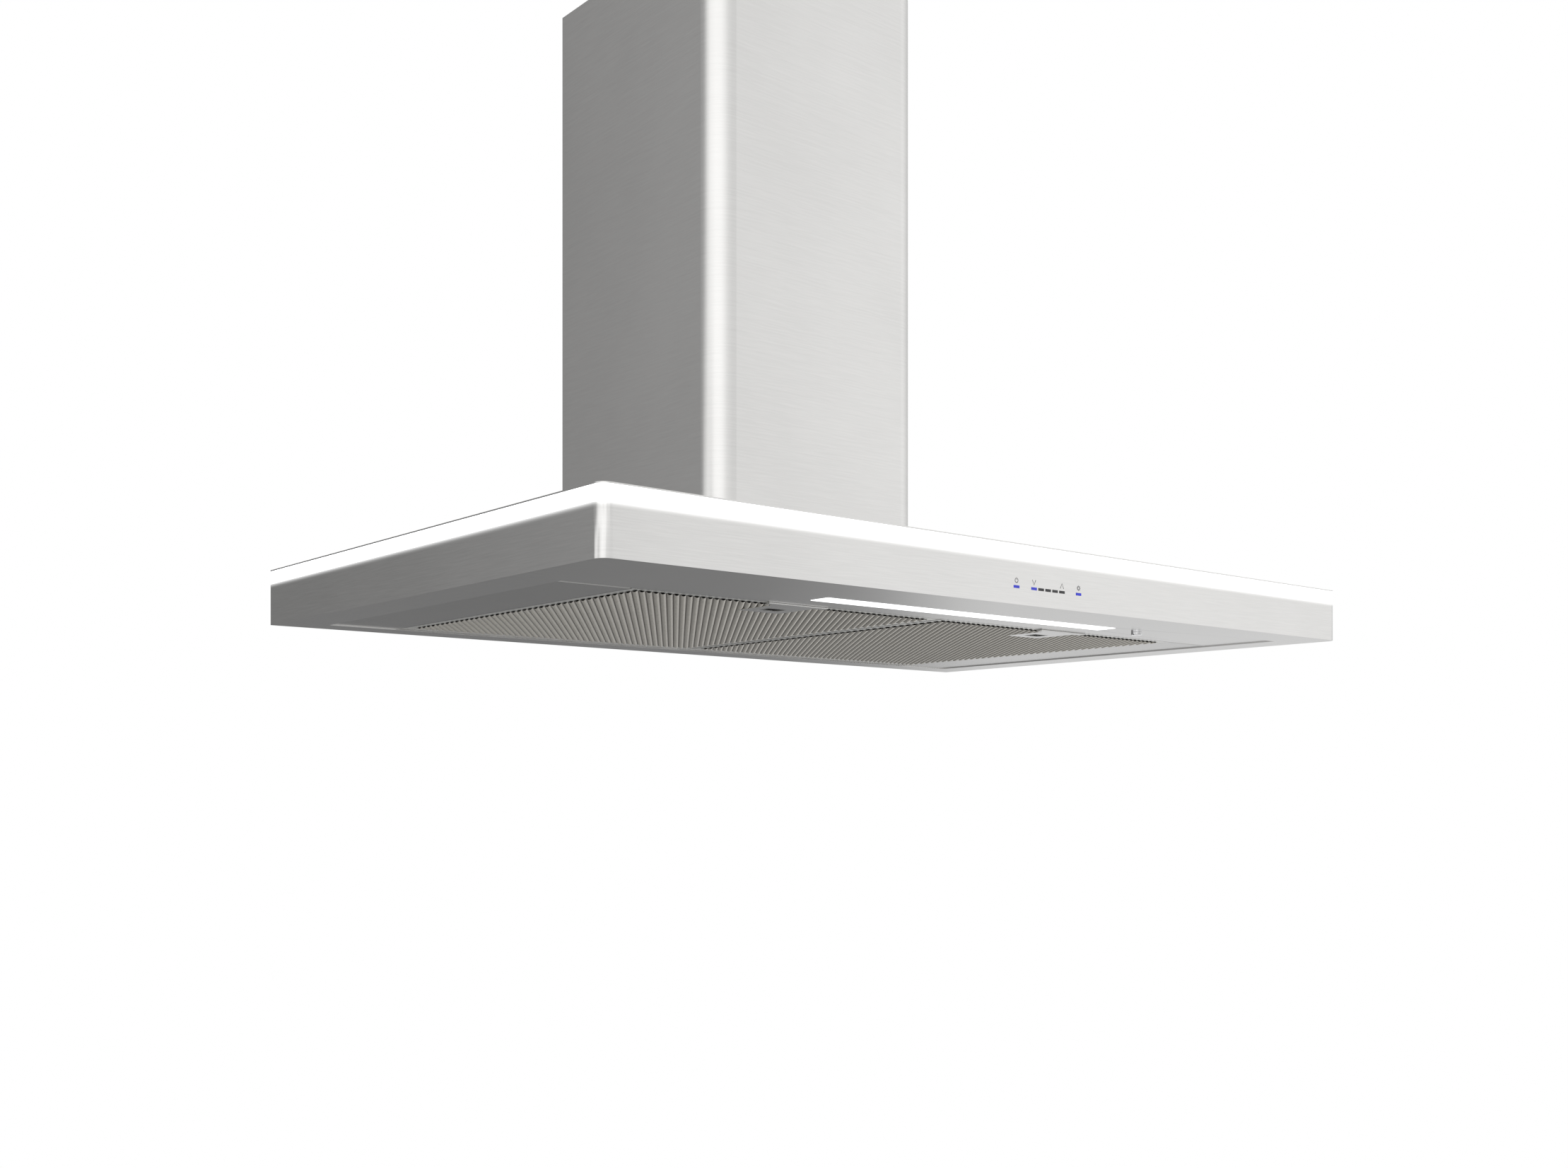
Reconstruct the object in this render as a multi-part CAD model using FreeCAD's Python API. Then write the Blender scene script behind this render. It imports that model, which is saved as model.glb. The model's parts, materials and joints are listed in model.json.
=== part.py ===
"""A wall-hung range hood: slim T-shaped canopy, light band, two mesh filters, blower and telescoping duct cover.

X runs along the wall, +Y points into the wall and +Z up. All heights below are measured from the canopy's
lower face, and the back of the hood is the plane y = 0. save() then lowers everything by HANG_HEIGHT, so that
the origin is the centre of the wall bracket's bolt pattern, in the plane of the wall. Sizes are in mm.
"""
import FreeCAD, Part
import math
import os

V = FreeCAD.Vector
X_AXIS = V(1, 0, 0)
Y_AXIS = V(0, 1, 0)
Z_AXIS = V(0, 0, 1)
ALL = 2000.0  # longer than anything here, for cuts that go right through

# Canopy
HOOD_LENGTH = 914.0
HOOD_DEPTH = 565.5
CANOPY_HEIGHT = 52.0
STEEL_HEIGHT = 39.0
CORNER_R = 9.5
SHEET = 1.2
HANG_HEIGHT = 150.0
HALF = HOOD_LENGTH / 2
FRONT = -HOOD_DEPTH
TOP_PLATE = CANOPY_HEIGHT - SHEET  # underside of the top panel
TOP_FLANGE = 14.0

# Opening under the canopy, and the ledge round it that carries the panels
BAY_HALF = 414.0
BAY_FRONT = FRONT + 46.0
BAY_BACK = -36.0
PANEL_Z = 1.0  # the panels' lower face, a little above the rim's
PANEL_TOP = PANEL_Z + SHEET
LEDGE_TOP = PANEL_TOP + SHEET
LEDGE = 10.0
SLIT = 0.3  # gap round each panel
FLANGE_TOP = 14.0  # how high the panels' upturned flanges reach

# Light band
BAND_WALL = 5.0
CARRIER_INSET = 9.0
CARRIER_WALL = 1.5
STRIP_WALL = 1.0
STRIP_Z = (41.0, 49.0)

# Filters
FILTER_FRONT = -438.5
FILTER_BACK = -47.5
FILTER_WIDTH = 342.0
FILTER_CENTRE = 172.5
FILTER_TOP = 10.0
FRAME_BAR = 8.3
MESH_GAP = 0.3
MESH_SKIN = 0.8
TAB_WIDTH = 30.0
TAB_REACH = 8.5
TAB_SPREAD = 110.0
LIGHT_PANEL_BACK = FILTER_FRONT - 0.8

# Latch at the front of each filter
LATCH_HALF = 22.5
LATCH_BACK = FILTER_FRONT + 55.0
LATCH_FLARE_HALF = 33.0
LATCH_FLARE = 7.5
LATCH_PLATE_Z = (-0.2, 0.9)
LATCH_ROOF = 8.4
FINGER_HALF = 10.0
FINGER_Y = (-410.0, -394.0)
SLIDER_HALF = 14.0
SLIDER_Y = (-436.8, -397.0)
SLIDER_Z = (1.3, 6.3)
TONGUE_Z = 4.4
CATCH_HALF = 10.0
CATCH_Z = (2.9, 4.1)
CATCH_REACH = -433.0

# Light bar and stud
BAR_Y = -480.0
BAR_HALF = 187.0
BAR_HALF_DEPTH = 11.5
BAR_FLANGE = 3.2
BAR_HOUSING_TOP = FLANGE_TOP
LED_PITCH = 13.5
LED_COUNT = 27
LED_SIZE = 5.0
STUD_X = 233.5
STUD_HEAD_R = 5.25
STUD_HEAD = 2.8
STUD_R = 3.0
RAIL_HALF_DEPTH = 20.0
RAIL_HALF = 440.0

# Indicator windows in the front face
WINDOW_WIDTH = 7.0
WINDOW_HEIGHT = 2.2
WINDOW_Z = 15.0
WINDOW_PITCH = 9.1
WINDOW_END_X = 40.4
WINDOW_PROUD = 0.2
BLUE_X = (-WINDOW_END_X, -2 * WINDOW_PITCH, WINDOW_END_X)
DARK_X = (-WINDOW_PITCH, 0.0, WINDOW_PITCH, 2 * WINDOW_PITCH)
HOLDER_WALL = 1.5
BOARD_Y = FRONT + 9.0

# Duct covers
COVER_HALF = 134.0
COVER_FRONT = -272.0
COVER_TOP = 677.0
COVER_R = 24.5
COVER_SHEET = 1.0
COVER_RETURN = 15.0
COVER_GAP = 0.8
UPPER_Z = (80.0, 675.0)
BRACKET_Z = (633.0, 665.0)
BRACKET_HOLE_SPREAD = 160.0

# Blower casing
CASE_HALF = 120.0
CASE_Y = (-238.0, -12.0)
CASE_TOP = 262.0
CASE_FLANGE = 9.0
CASE_CORNER_R = 12.0  # the flange's front corners, inside the duct cover's
INLET_HALF = 100.0
INLET_Y = (-230.0, -30.0)

# Blower: its axis runs along X
FAN_Y = -118.0
FAN_Z = 160.0
SCROLL_R = 82.0
SCROLL_STEP = 10.0
SCROLL_HALF = 58.0
SCROLL_WALL = 1.5
TONGUE_ANGLE = 25.0
INLET_R = 60.0
WHEEL_R = 72.0
WHEEL_INNER_R = 60.0
WHEEL_HALF = 55.0
WHEEL_RING = 3.0
BLADE_COUNT = 40
BLADE_WALL = 1.0
SHAFT_R = 4.0
SHAFT_REACH = 12.0  # past the wheel's middle
MOTOR_R = 45.0
MOTOR_X = (14.0, 70.0)
MOTOR_WALL = 2.0
BEARING_R = 11.0
BEARING_WIDTH = 6.0
MOUNT_CIRCLE = 72.0
MOUNT_ANGLES = (60.0, 180.0, 300.0)
MOUNT_R = 6.0

# Outlet and damper
DUCT_Y = -130.0
DUCT_R = 75.0
DUCT_WALL = 2.0
COLLAR_FLANGE = 9.0
TRANSITION_TOP = 290.0
COLLAR_TOP = 370.0
DAMPER_Z = 302.0
PIN_R = 1.5
PIN_Y = 5.0  # each flap's pin is this far from the collar's middle
KNUCKLE_R = 3.2
KNUCKLE_HALF = 8.0
FLAP_R = 71.8
FLAP_Z = (-3.3, -1.8)  # the flaps hang just below their pins
KNUCKLE_X = 40.0

# Wall bracket and hanger
BRACKET_HALF = 105.0
BRACKET_SHEET = 2.0
BRACKET_BOTTOM = 120.0
LIP_Z = 183.0
LIP_TOP = 193.0
WALL_HOLE_X = 80.0
WALL_HOLE_Z = 20.0
WALL_HOLE_R = 3.2
LOCK_HOLE_X = 300.0
LOCK_HOLE_Z = 30.0
LOCK_HOLE_R = 3.0

# Wiring box
WIRING_HALF = 55.0
WIRING_Y = (-44.0, -14.0)
WIRING_TOP = 320.0
GLAND_BORE_R = 4.5

# Screws
SCREW_R = 2.0
SCREW_HOLE_R = 2.2
HEAD_R = 3.2
HEAD = 2.2
SCREW_LENGTH = 7.0


def box(x, y, z):
    """A block from its three (low, high) ranges."""
    return Part.makeBox(x[1] - x[0], y[1] - y[0], z[1] - z[0], V(x[0], y[0], z[0]))


def rod(radius, start, axis, length):
    return Part.makeCylinder(radius, length, start, axis)


def ring(outer, inner, start, axis, length):
    return rod(outer, start, axis, length).cut(rod(inner, start - axis, axis, length + 2))


def fuse(shapes):
    """One solid from several that touch or overlap."""
    joined = shapes[0].multiFuse(shapes[1:])
    return joined.removeSplitter()


def front_rounded(half, front, back, radius, z):
    """An upright prism whose plan is a rectangle, its two front corners rounded unless the radius is 0 or less."""
    if radius <= 0:
        return box((-half, half), (front, back), z)
    bow = radius * math.sqrt(0.5)
    left = V(-half + radius, front + radius, z[0])
    right = V(half - radius, front + radius, z[0])
    edges = [
        Part.makeLine(V(-half, back, z[0]), V(-half, front + radius, z[0])),
        Part.Arc(left + V(-radius, 0, 0), left + V(-bow, -bow, 0), left + V(0, -radius, 0)).toShape(),
        Part.makeLine(left + V(0, -radius, 0), right + V(0, -radius, 0)),
        Part.Arc(right + V(0, -radius, 0), right + V(bow, -bow, 0), right + V(radius, 0, 0)).toShape(),
        Part.makeLine(V(half, front + radius, z[0]), V(half, back, z[0])),
        Part.makeLine(V(half, back, z[0]), V(-half, back, z[0])),
    ]
    return Part.Face(Part.Wire(edges)).extrude(V(0, 0, z[1] - z[0]))


def screw(tip, axis, length):
    """A pan-head screw: tip is the shank's end, axis points from there to the head."""
    return rod(SCREW_R, tip, axis, length).fuse(rod(HEAD_R, tip + axis * length, axis, HEAD))


def save(name, shape):
    placed = shape.copy()
    placed.translate(V(0, 0, -HANG_HEIGHT))
    placed.exportStep("parts/" + name + ".step")


# ---------------------------------------------------------------- canopy


def window_cut(x, y, grow):
    half_width = WINDOW_WIDTH / 2 + grow
    half_height = WINDOW_HEIGHT / 2 + grow
    return box((x - half_width, x + half_width), y, (WINDOW_Z - half_height, WINDOW_Z + half_height))


def bay(grow, z):
    """The block of the opening under the canopy, grown outwards or (negative) shrunk."""
    return box((-BAY_HALF - grow, BAY_HALF + grow), (BAY_FRONT - grow, BAY_BACK + grow), z)


def canopy_shell():
    """Folded pan: front and side walls, rim underneath with a stepped ledge, flange turned in at the top."""
    skin = front_rounded(HALF, FRONT, 0, CORNER_R, (0, STEEL_HEIGHT))
    room_z = (SHEET, STEEL_HEIGHT - SHEET)
    room = front_rounded(HALF - SHEET, FRONT + SHEET, 1, CORNER_R - SHEET, room_z)
    mouth = front_rounded(HALF - TOP_FLANGE, FRONT + TOP_FLANGE, 1, SHEET, (SHEET, ALL))
    riser = bay(SHEET, (0, LEDGE_TOP))
    ledge_hole = bay(-LEDGE, (-1, LEDGE_TOP + 1))
    shell = skin.cut(room).cut(mouth).fuse(riser)
    shell = shell.cut(bay(0, (-1, PANEL_TOP))).cut(ledge_hole)
    for x in BLUE_X + DARK_X:
        shell = shell.cut(window_cut(x, (FRONT - 1, FRONT + 2 * SHEET), 0.05))
    return shell.removeSplitter()


def canopy_top_panel():
    plate = front_rounded(HALF, FRONT, 0, CORNER_R, (TOP_PLATE, CANOPY_HEIGHT))
    inlet = box((-INLET_HALF, INLET_HALF), INLET_Y, (0, ALL))
    plate = plate.cut(inlet)
    for x, y in case_screw_places():
        plate = plate.cut(rod(SCREW_HOLE_R, V(x, y, 0), Z_AXIS, ALL))
    return plate


def canopy_rear_panel():
    """Back wall between the shell's sides, narrower above the shell's top flange, with two lock screw holes."""
    lower = box((-HALF + SHEET, HALF - SHEET), (-SHEET, 0), (SHEET, STEEL_HEIGHT - SHEET))
    inside = HALF - TOP_FLANGE
    upper = box((-inside, inside), (-SHEET, 0), (STEEL_HEIGHT - SHEET, TOP_PLATE))
    panel = fuse([lower, upper])
    for x in (-LOCK_HOLE_X, LOCK_HOLE_X):
        panel = panel.cut(rod(LOCK_HOLE_R, V(x, -ALL / 2, LOCK_HOLE_Z), Y_AXIS, ALL))
    return panel


def band_wall(inset, wall, z):
    """A wall round the left, front and right of the canopy, set in from its outline."""
    outer = front_rounded(HALF - inset, FRONT + inset, 0, CORNER_R - inset, z)
    inner_r = CORNER_R - inset - wall
    return outer.cut(front_rounded(HALF - inset - wall, FRONT + inset + wall, 1, inner_r, z))


def light_band():
    return band_wall(0, BAND_WALL, (STEEL_HEIGHT, TOP_PLATE))


def light_band_carrier():
    return band_wall(CARRIER_INSET, CARRIER_WALL, (STEEL_HEIGHT, TOP_PLATE))


def light_band_leds():
    """Three straight LED strips on the carrier's outer side."""
    face = HALF - CARRIER_INSET
    ends = 20.0
    run = (FRONT + CARRIER_INSET + ends, -ends)
    left = box((-face - STRIP_WALL, -face), run, STRIP_Z)
    right = box((face, face + STRIP_WALL), run, STRIP_Z)
    front_face = FRONT + CARRIER_INSET
    front = box((-face + ends, face - ends), (front_face - STRIP_WALL, front_face), STRIP_Z)
    return Part.makeCompound([left, front, right])


def front_cross_rail():
    """Channel across the canopy over the light panel, with the stud's keyhole in its floor."""
    x = (-RAIL_HALF, RAIL_HALF)
    low, high = BAR_Y - RAIL_HALF_DEPTH, BAR_Y + RAIL_HALF_DEPTH
    solid = box(x, (low, high), (FLANGE_TOP, TOP_PLATE))
    room = box((-ALL, ALL), (low + SHEET, high - SHEET), (FLANGE_TOP + SHEET, ALL))
    keyhole = box((STUD_X - 7.5, STUD_X + 7.5), (BAR_Y - 2.5, BAR_Y + 2.5), (0, ALL / 2))
    centre = rod(STUD_R + 0.4, V(STUD_X, BAR_Y, 0), Z_AXIS, ALL)
    return solid.cut(room).cut(keyhole).cut(centre)


def filter_rail_frame():
    """Upright strip behind the filters, with an inverted T welded to it that runs forward between them."""
    back = BAY_BACK - SHEET
    upright = box((-BAY_HALF, BAY_HALF), (back, BAY_BACK), (LEDGE_TOP, 20.0))
    foot_z = FILTER_TOP + 0.4
    foot = box((-9.0, 9.0), (LIGHT_PANEL_BACK, BAY_BACK), (foot_z, foot_z + SHEET))
    stem = box((-SHEET / 2, SHEET / 2), (LIGHT_PANEL_BACK, INLET_Y[0] - 6), (foot_z, TOP_PLATE))
    return fuse([upright, foot, stem])


def side_panel(side):
    """Panel beside the filters, with a flange turned up along them and a bevelled front edge."""
    outer = BAY_HALF - SLIT
    inner = FILTER_CENTRE + FILTER_WIDTH / 2 + 0.8
    y = (LIGHT_PANEL_BACK + SLIT, BAY_BACK - SLIT)
    plate = box((inner, outer), y, (PANEL_Z, PANEL_TOP))
    flange_y = (y[0], BAY_BACK - LEDGE - SLIT)
    flange = box((inner, inner + SHEET), flange_y, (PANEL_Z, FLANGE_TOP))
    panel = fuse([plate, flange])
    bevel = Part.makePolygon([V(0, y[0], PANEL_Z), V(0, y[0] + 4.5, PANEL_Z), V(0, y[0], PANEL_TOP - 0.3),
                              V(0, y[0], PANEL_Z)])
    panel = panel.cut(Part.Face(bevel).extrude(V(ALL, 0, 0)))
    return panel if side > 0 else panel.mirror(V(0, 0, 0), X_AXIS)


def light_panel():
    """Front panel under the canopy: light bar window, stud hole, rear flange with a slot for each catch."""
    y = (BAY_FRONT + SLIT, LIGHT_PANEL_BACK)
    plate = box((-BAY_HALF + SLIT, BAY_HALF - SLIT), y, (PANEL_Z, PANEL_TOP))
    reach = BAY_HALF - LEDGE - SLIT
    flange = box((-reach, reach), (y[1] - SHEET, y[1]), (PANEL_Z, FLANGE_TOP))
    panel = fuse([plate, flange])
    panel = panel.cut(light_bar_block(0.4, (0, FLANGE_TOP)))
    panel = panel.cut(rod(STUD_R + 0.06, V(STUD_X, BAR_Y, 0), Z_AXIS, FLANGE_TOP))
    for x in (-FILTER_CENTRE, FILTER_CENTRE):
        slot_x = (x - CATCH_HALF - 0.5, x + CATCH_HALF + 0.5)
        panel = panel.cut(box(slot_x, (y[1] - 2 * SHEET, y[1] + 1), (CATCH_Z[0] - 0.2, CATCH_Z[1] + 0.3)))
    return panel


# ---------------------------------------------------------------- light bar


def light_bar_block(grow, z):
    """The light bar's outline, with rounded corners, grown outwards."""
    half = BAR_HALF + grow
    depth = BAR_HALF_DEPTH + grow
    block = box((-half, half), (BAR_Y - depth, BAR_Y + depth), z)
    upright = [e for e in block.Edges if abs(e.tangentAt(0).z) > 0.9]
    return block.makeFillet(2.0 + grow, upright)


def light_bar_lens():
    window = light_bar_block(0, (PANEL_Z - 0.2, PANEL_TOP))
    return fuse([window, light_bar_block(BAR_FLANGE, (PANEL_TOP, PANEL_TOP + 1.4))])


def light_bar_housing():
    """Aluminium tray over the lens, which spreads the LEDs' heat."""
    solid = light_bar_block(BAR_FLANGE + SHEET + 0.3, (PANEL_TOP, BAR_HOUSING_TOP))
    return solid.cut(light_bar_block(BAR_FLANGE + 0.3, (0, BAR_HOUSING_TOP - SHEET)))


def light_bar_board():
    """Circuit board under the tray's roof with a row of LED packages soldered to its lower face."""
    top = BAR_HOUSING_TOP - SHEET
    pieces = [box((-BAR_HALF, BAR_HALF), (BAR_Y - 8, BAR_Y + 8), (top - SHEET, top))]
    half = LED_SIZE / 2
    for i in range(LED_COUNT):
        x = (i - (LED_COUNT - 1) / 2) * LED_PITCH
        pieces.append(box((x - half, x + half), (BAR_Y - half, BAR_Y + half), (top - SHEET - 0.8, top - SHEET)))
    return fuse(pieces)


def light_panel_stud():
    """Quarter-turn stud: coin-slotted head below the panel, shank through it, wings over the cross rail."""
    centre = V(STUD_X, BAR_Y, 0)
    head_top = PANEL_Z - 0.1
    head = rod(STUD_HEAD_R, centre + V(0, 0, head_top - STUD_HEAD), Z_AXIS, STUD_HEAD)
    head = head.makeChamfer(0.5, [e for e in head.Edges if e.Curve.TypeId == "Part::GeomCircle"
                                  and e.BoundBox.ZMax < head_top - 1])
    shank = rod(STUD_R, centre + V(0, 0, head_top - 1), Z_AXIS, 19.0)
    wing_z = FLANGE_TOP + SHEET + 0.3
    wings = box((STUD_X - 1.8, STUD_X + 1.8), (BAR_Y - 6.5, BAR_Y + 6.5), (wing_z, wing_z + 2))
    low = head_top - STUD_HEAD
    coin_slot = box((STUD_X - ALL, STUD_X + ALL), (BAR_Y - 0.7, BAR_Y + 0.7), (low - 1, low + 1.0))
    return fuse([head, shank, wings]).cut(coin_slot)


def stud_retaining_ring():
    return ring(6.0, STUD_R, V(STUD_X, BAR_Y, PANEL_TOP + 0.2), Z_AXIS, 0.8)


# ---------------------------------------------------------------- filters, one function per piece


def filter_x(side):
    centre = side * FILTER_CENTRE
    return centre, (centre - FILTER_WIDTH / 2, centre + FILTER_WIDTH / 2)


def inset(pair, amount):
    return (pair[0] + amount, pair[1] - amount)


def filter_frame(side):
    """Rolled channel frame, open inwards, with two tabs at the back and a latch window at the front."""
    centre, x = filter_x(side)
    y = (FILTER_FRONT, FILTER_BACK)
    frame = box(x, y, (PANEL_Z, FILTER_TOP))
    groove_z = (PANEL_TOP, FILTER_TOP - SHEET)
    frame = frame.cut(box(inset(x, SHEET), inset(y, SHEET), groove_z))
    frame = frame.cut(box(inset(x, FRAME_BAR), inset(y, FRAME_BAR), (-1, ALL / 2)))
    tab_z = (LEDGE_TOP + 0.3, LEDGE_TOP + 0.3 + SHEET)
    tabs = []
    for offset in (-TAB_SPREAD, TAB_SPREAD):
        tab_x = (centre + offset - TAB_WIDTH / 2, centre + offset + TAB_WIDTH / 2)
        tabs.append(box(tab_x, (FILTER_BACK - SHEET, FILTER_BACK + TAB_REACH), tab_z))
    frame = fuse([frame] + tabs)
    latch_x = (centre - SLIDER_HALF - 1.5, centre + SLIDER_HALF + 1.5)
    window_z = (PANEL_TOP, TONGUE_Z + 3.0)
    frame = frame.cut(box(latch_x, (FILTER_FRONT - 1, FILTER_FRONT + 2 * SHEET), window_z))
    return frame


def filter_mesh(side):
    """The mesh pack's skin: its edge sits in the frame's groove and its face bulges down to the rim's level."""
    centre, x = filter_x(side)
    y = (FILTER_FRONT, FILTER_BACK)
    edge = SHEET + MESH_GAP
    face = FRAME_BAR + MESH_GAP
    pack_z = (PANEL_TOP + 0.2, FILTER_TOP - SHEET - 0.2)
    pack = box(inset(x, edge), inset(y, edge), pack_z)
    bulge = box(inset(x, face), inset(y, face), (0, PANEL_TOP + 1))
    room = box(inset(x, edge + MESH_SKIN), inset(y, edge + MESH_SKIN), inset(pack_z, MESH_SKIN))
    dip = box(inset(x, face + MESH_SKIN), inset(y, face + MESH_SKIN), (MESH_SKIN, PANEL_TOP + 2))
    latch = box((centre - LATCH_HALF - 0.5, centre + LATCH_HALF + 0.5), (-ALL, LATCH_BACK + 0.5), (-1, ALL / 2))
    return fuse([pack, bulge]).cut(room).cut(dip).cut(latch)


def latch_plate(side):
    """Pressed housing at the filter's front: flared plate with a finger opening, and a box over the slider."""
    centre, _ = filter_x(side)
    front = FILTER_FRONT + 0.2
    half = [(LATCH_FLARE_HALF, front), (LATCH_FLARE_HALF, front + LATCH_FLARE), (LATCH_HALF, FILTER_FRONT + FRAME_BAR),
            (LATCH_HALF, LATCH_BACK)]
    points = [(centre + x, y) for x, y in half]
    points += [(centre - x, y) for x, y in reversed(half)]
    outline = [V(x, y, LATCH_PLATE_Z[0]) for x, y in points + points[:1]]
    plate = Part.Face(Part.makePolygon(outline)).extrude(V(0, 0, LATCH_PLATE_Z[1] - LATCH_PLATE_Z[0]))
    bar_back = FILTER_FRONT + FRAME_BAR
    wide = (centre - LATCH_HALF, centre + LATCH_HALF)
    walls = box(wide, (bar_back + MESH_GAP, LATCH_BACK), (LATCH_PLATE_Z[0], LATCH_ROOF))
    room = box(inset(wide, 1.0), (-ALL, LATCH_BACK - 1.0), (LATCH_PLATE_Z[1] + 0.1, LATCH_ROOF - 1.0))
    housing = fuse([plate, walls]).cut(room)
    finger = box((centre - FINGER_HALF, centre + FINGER_HALF), FINGER_Y, (-1, LATCH_PLATE_Z[1] + 0.2))
    return housing.cut(finger)


def latch_slider(side):
    """Slider with a finger pocket from below and a tongue that lies on the catch."""
    centre, _ = filter_x(side)
    wide = (centre - SLIDER_HALF, centre + SLIDER_HALF)
    body = box(wide, SLIDER_Y, SLIDER_Z)
    under_tongue = box((-ALL, ALL), (-ALL, CATCH_REACH + 7.0), (-1, TONGUE_Z))
    pocket = box((centre - 7.5, centre + 7.5), (FINGER_Y[0] - 1.0, FINGER_Y[0] + 11.0), (-1, SLIDER_Z[1] - 1.0))
    return body.cut(under_tongue).cut(pocket)


def latch_spring(side):
    """Zigzag leaf spring between the slider and the housing's back wall."""
    centre, _ = filter_x(side)
    strip = 0.4
    low, high = SLIDER_Y[1], LATCH_BACK - 1.0
    folds = 4
    step = (high - low - strip) / folds
    swing = 7.0
    leaves = []
    for i in range(folds):
        y0 = low + strip / 2 + i * step
        ends = (-swing, swing) if i % 2 == 0 else (swing, -swing)
        start = V(centre + ends[0], y0, 0)
        along = V(centre + ends[1], y0 + step, 0) - start
        leaf = Part.makeBox(along.Length + strip, strip, 3.0, V(-strip / 2, -strip / 2, 0))
        leaf.rotate(V(0, 0, 0), Z_AXIS, math.degrees(math.atan2(along.y, along.x)))
        leaf.translate(start + V(0, 0, SLIDER_Z[0] + 1.0))
        leaves.append(leaf)
    spring = fuse(leaves)
    return spring.common(box((-ALL, ALL), (low, high), (-ALL, ALL)))


def filter_catches():
    """Spring-steel catches on the light panel's flange: each hook lies under a latch's tongue."""
    face = LIGHT_PANEL_BACK - SHEET
    catches = []
    for centre in (-FILTER_CENTRE, FILTER_CENTRE):
        x = (centre - CATCH_HALF, centre + CATCH_HALF)
        foot = box(x, (face - SHEET, face), (CATCH_Z[0], FLANGE_TOP - 1))
        catches.append(fuse([foot, box(x, (face - SHEET, CATCH_REACH), CATCH_Z)]))
    return Part.makeCompound(catches)


# ---------------------------------------------------------------- controls


def indicator_windows(places):
    """Clear light pipes from the front face to the control board."""
    pipes = [window_cut(x, (FRONT - WINDOW_PROUD, BOARD_Y), 0) for x in places]
    return Part.makeCompound(pipes)


def control_board():
    return box((-55.0, 55.0), (BOARD_Y, BOARD_Y + 1.6), (7.0, 33.0))


def control_board_holder():
    """Plastic tray stuck to the back of the front face."""
    x, z = (-58.0, 58.0), (4.5, 35.5)
    y = (FRONT + SHEET, BOARD_Y + 5.0)
    tray = box(x, y, z).cut(box(inset(x, HOLDER_WALL), (y[0] + HOLDER_WALL, ALL), inset(z, HOLDER_WALL)))
    for place in BLUE_X + DARK_X:
        tray = tray.cut(window_cut(place, (FRONT, BOARD_Y), 0.1))
    return tray


# ---------------------------------------------------------------- duct covers


def cover(half, front, back, radius, z):
    """Duct cover: three walls with rounded front corners and a return along each rear edge."""
    skin = front_rounded(half, front, back, radius, z)
    room_z = (z[0] - 1, z[1] + 1)
    room = front_rounded(half - COVER_SHEET, front + COVER_SHEET, back - COVER_SHEET, radius - COVER_SHEET, room_z)
    gap_half = half - COVER_RETURN
    return skin.cut(room).cut(box((-gap_half, gap_half), (back - 2 * COVER_SHEET, back + 1), room_z))


def lower_duct_cover():
    return cover(COVER_HALF, COVER_FRONT, 0, COVER_R, (CANOPY_HEIGHT, COVER_TOP))


def upper_duct_cover():
    """Slides inside the lower cover; two holes on each side take the bracket's screws."""
    nest = COVER_SHEET + COVER_GAP
    shape = cover(COVER_HALF - nest, COVER_FRONT + nest, -nest, COVER_R - nest, UPPER_Z)
    for z in bracket_screw_heights():
        shape = shape.cut(rod(SCREW_R, V(-ALL / 2, -45.0, z), X_AXIS, ALL))
    return shape


def bracket_screw_heights():
    return (BRACKET_Z[0] + 8, BRACKET_Z[1] - 8)


def chimney_bracket():
    """Top-hat strip that holds the upper cover to the wall: flat back, arms forward, ears along the cover."""
    sheet = 1.6
    inner = COVER_HALF - 2 * COVER_SHEET - COVER_GAP
    back_half = COVER_HALF - COVER_RETURN - 5.0
    bend = -32.0
    back = box((-back_half, back_half), (-sheet, 0), BRACKET_Z)
    pieces = [back]
    for side in (-1, 1):
        arm_x = sorted((side * (back_half - sheet), side * back_half))
        step_x = sorted((side * (back_half - sheet), side * inner))
        ear_x = sorted((side * (inner - sheet), side * inner))
        pieces.append(box(arm_x, (bend, 0), BRACKET_Z))
        pieces.append(box(step_x, (bend, bend + sheet), BRACKET_Z))
        pieces.append(box(ear_x, (bend - 26.0, bend + sheet), BRACKET_Z))
    bracket = fuse(pieces)
    middle = (BRACKET_Z[0] + BRACKET_Z[1]) / 2
    for x in (-BRACKET_HOLE_SPREAD / 2, BRACKET_HOLE_SPREAD / 2):
        bracket = bracket.cut(rod(WALL_HOLE_R, V(x, -10.0, middle), Y_AXIS, 20))
    for z in bracket_screw_heights():
        bracket = bracket.cut(rod(SCREW_R, V(-ALL / 2, -45.0, z), X_AXIS, ALL))
    return bracket


# ---------------------------------------------------------------- blower


def case_screw_places():
    side = CASE_HALF + CASE_FLANGE / 2
    front = CASE_Y[0] - CASE_FLANGE / 2
    places = [(x, y) for x in (-side, side) for y in (-190.0, -125.0, -60.0)]
    return places + [(-60.0, front), (60.0, front)]


def hanger_screw_places():
    return [(x, z) for x in (-70.0, 70.0) for z in (158.0, 172.0)]


def transition_screw_places():
    return [(x, y) for x in (-87.0, 87.0) for y in (-220.0, -60.0)]


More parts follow.
